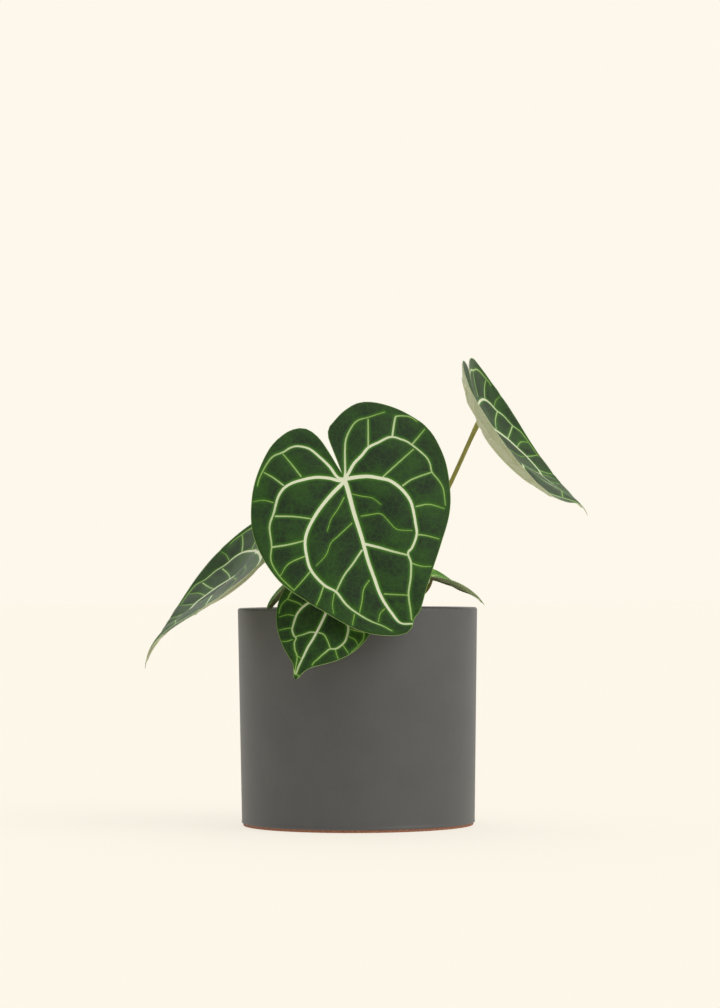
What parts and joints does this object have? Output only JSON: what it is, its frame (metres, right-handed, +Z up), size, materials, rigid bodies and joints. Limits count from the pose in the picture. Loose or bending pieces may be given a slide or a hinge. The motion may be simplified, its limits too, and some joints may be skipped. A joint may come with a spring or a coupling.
{
  "type": "potted anthurium",
  "caption": "Young velvet-leaved anthurium with white-veined heart-shaped leaves on slender stalks, growing in bark mix in a plain satin charcoal cylinder pot.",
  "frame": {"origin": "centre of the pot's flat base, on the surface that it stands on", "axes": "+Z up along the pot's axis; -Y is the front, which the large front leaf faces; +X is to the right seen from the front"},
  "size_m": [0.2344, 0.1468, 0.2486],
  "materials": {
    "pot": "satin charcoal glaze over an unglazed reddish foot",
    "potting_mix": "damp bark, perlite and fine soil",
    "stem": "matte green-brown, ringed",
    "sheath": "dry and papery",
    "stalk": "satin olive green",
    "leaf": "velvety deep green with cream veins and a pale underside",
    "young_leaf": "soft bright green with pale veins"
  },
  "bodies": {
    "root": {"pot": "pot", "potting_mix": "potting_mix", "stem": "stem", "sheath_1": "sheath", "sheath_2": "sheath", "stalk_front": "stalk", "stalk_upper_right": "stalk", "stalk_left": "stalk", "stalk_hanging": "stalk", "stalk_small_right": "stalk", "stalk_young_left": "stalk", "leaf_front": "leaf", "leaf_upper_right": "leaf", "leaf_left": "leaf", "leaf_hanging": "leaf", "leaf_small_right": "young_leaf", "leaf_young_left": "young_leaf"}
  },
  "joints": []
}
